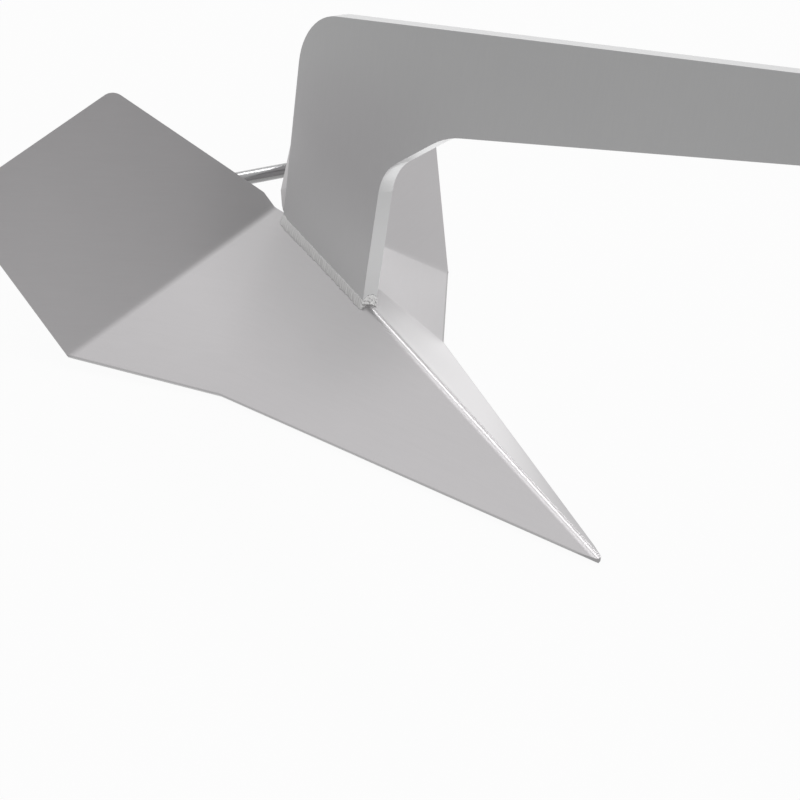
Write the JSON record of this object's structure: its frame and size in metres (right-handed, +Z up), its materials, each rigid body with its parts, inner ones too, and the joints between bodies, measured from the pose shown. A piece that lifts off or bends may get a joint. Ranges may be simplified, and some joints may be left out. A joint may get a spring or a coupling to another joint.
{
  "type": "plough anchor",
  "caption": "Fixed-shank plough anchor of folded steel plate, with turned-up wings, a weighted toe, a crossbar behind the shank and a shackle eye.",
  "frame": {"origin": "middle of the anchor's length and width, at the level surface that it rests on", "axes": "+X points ahead, the way the toe's tip and the shank's arm point; +Y is to port, across the two even halves; +Z is up as the anchor rests"},
  "size_m": [0.6872, 0.4056, 0.4076],
  "materials": {
    "share_steel": "satin",
    "shank_steel": "satin",
    "bar_steel": "polished",
    "weld_metal": "brushed bead",
    "ballast_metal": "dull cast"
  },
  "bodies": {
    "root": {"share": "share_steel", "shank": "shank_steel", "crossbar": "bar_steel", "shank_weld_starboard": "weld_metal", "shank_weld_port": "weld_metal", "shank_weld_front": "weld_metal", "shank_weld_heel": "weld_metal", "bar_weld_starboard": "weld_metal", "bar_weld_port": "weld_metal", "toe_ballast": "ballast_metal", "toe_bulkhead": "share_steel", "toe_cover": "share_steel", "bulkhead_weld": "weld_metal"}
  },
  "joints": []
}
